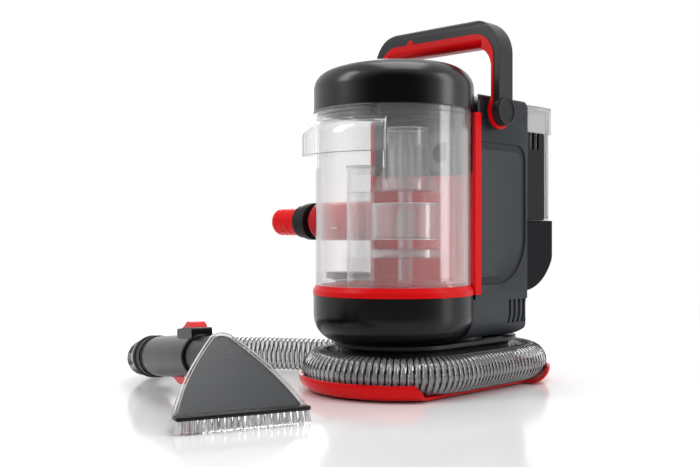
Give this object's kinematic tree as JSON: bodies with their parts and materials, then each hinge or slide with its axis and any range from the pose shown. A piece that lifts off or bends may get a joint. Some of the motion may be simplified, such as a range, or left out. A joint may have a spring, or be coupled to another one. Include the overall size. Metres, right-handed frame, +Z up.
{
  "type": "spot extractor",
  "caption": "Upright spot extractor with a clear waste tank in front, clean-water tank behind, fold-back carry handle, and a clear hose round its base tray to a spray tool with a brush.",
  "frame": {"origin": "on the floor, under the middle of the base tray, at the face of the middle rubber foot", "axes": "+Z up; -Y towards the machine's front, where the waste tank stands; -X towards the tool post"},
  "size_m": [0.3879, 0.5132, 0.387],
  "materials": {
    "tray_red": "glossy bright red moulded plastic",
    "foot_rubber": "matt black rubber",
    "screw_steel": "plated steel",
    "gloss_black": "glossy black moulded plastic",
    "shell_grey": "satin dark blue-grey plastic",
    "trim_red": "semi-gloss bright red plastic",
    "black_plastic": "satin black plastic",
    "soft_black": "soft black rubber",
    "clear": "clear moulded plastic",
    "hose_clear": "clear ribbed hose with a dark helix",
    "motor_metal": "bare steel",
    "fan_alu": "bare aluminium",
    "pump_white": "off-white plastic",
    "board_green": "green circuit board",
    "filter_white": "white filter foam",
    "bristle_white": "white nylon bristle"
  },
  "bodies": {
    "machine": {"base_tray": "tray_red", "tray_feet": "foot_rubber", "tray_screws": "screw_steel", "pedestal": "black_plastic", "front_bowl": "gloss_black", "right_shell": "shell_grey", "left_shell": "shell_grey", "rear_shroud": "black_plastic", "top_cap": "black_plastic", "bezel": "trim_red", "bay_liner": "tray_red", "bay_upper": "shell_grey", "tool_post": "trim_red", "post_rings": "soft_black", "post_peg": "trim_red", "tool_shelf": "shell_grey", "cord_gland": "soft_black", "hose_elbow": "black_plastic", "hose_cuff": "soft_black", "suction_hose": "hose_clear", "motor_mount": "foot_rubber", "motor_can": "motor_metal", "fan_housing": "black_plastic", "suction_duct": "black_plastic", "pump_body": "pump_white", "pump_bracket": "black_plastic", "water_line": "clear", "valve_socket": "black_plastic", "control_board": "board_green", "switch_body": "black_plastic", "handle_pins": "screw_steel", "tool_grip": "black_plastic", "grip_cuff": "soft_black", "trigger_pin": "screw_steel"},
    "rotor": {"fan_impeller": "fan_alu", "motor_shaft": "screw_steel"},
    "handle": {"handle_frame": "gloss_black", "handle_liner": "trim_red", "grip_tab": "trim_red", "pivot_caps": "black_plastic"},
    "waste_tank": {"tank_shell": "clear", "tank_seal": "soft_black", "separator_cage": "clear", "standpipe": "clear", "inlet_pipe": "clear"},
    "lid": {"tank_lid": "gloss_black", "lid_filter": "filter_white"},
    "float": {"float_cup": "clear"},
    "water_tank": {"clean_tank": "clear", "outlet_valve": "pump_white"},
    "water_cap": {"clean_cap": "trim_red"},
    "power_switch": {"power_button": "trim_red"},
    "nozzle": {"nozzle_body": "black_plastic", "nozzle_cover": "clear", "brush_bar": "black_plastic", "bristles": "bristle_white"},
    "spray_trigger": {"trigger": "trim_red"},
    "latch": {"latch_button": "trim_red"}
  },
  "joints": [
    {"name": "handle_swing", "type": "hinge", "parent": "machine", "child": "handle", "pos_m": [0, 0.023, 0.289], "axis": [-1, 0, 0], "range_deg": [0, 60]},
    {"name": "tank_lift", "type": "slide", "parent": "machine", "child": "waste_tank", "axis": [0, -0.5, 0.866], "range_m": [0, 0.25]},
    {"name": "lid_twist", "type": "hinge", "parent": "waste_tank", "child": "lid", "pos_m": [0, -0.0565, 0.3], "axis": [0, 0, 1], "range_deg": [0, 60]},
    {"name": "float_rise", "type": "slide", "parent": "waste_tank", "child": "float", "axis": [0, 0, 1], "range_m": [0, 0.011]},
    {"name": "water_tank_slide", "type": "slide", "parent": "machine", "child": "water_tank", "axis": [0, 1, 0], "range_m": [0, 0.12]},
    {"name": "water_cap_twist", "type": "hinge", "parent": "water_tank", "child": "water_cap", "pos_m": [0, 0.0965, 0.195], "axis": [0, 1, 0], "range_deg": [0, 90]},
    {"name": "power_press", "type": "slide", "parent": "machine", "child": "power_switch", "axis": [0, 0, -1], "range_m": [0, 0.003], "stiffness_N_per_m": 300},
    {"name": "fan_spin", "type": "hinge", "parent": "machine", "child": "rotor", "pos_m": [0, 0.046, 0.06], "axis": [0, 0, 1], "continuous": true},
    {"name": "head_slide", "type": "slide", "parent": "machine", "child": "nozzle", "axis": [0.9429, -0.3155, 0.107], "range_m": [0, 0.08]},
    {"name": "trigger_pull", "type": "hinge", "parent": "machine", "child": "spray_trigger", "pos_m": [-0.06931, -0.26235, 0.02762], "axis": [0.3173, 0.9483, 0], "range_deg": [0, 4.5], "stiffness_Nm_per_rad": 0.2},
    {"name": "latch_press", "type": "slide", "parent": "machine", "child": "latch", "axis": [0.1014, -0.0339, -0.9943], "range_m": [0, 0.0025], "stiffness_N_per_m": 300}
  ]
}
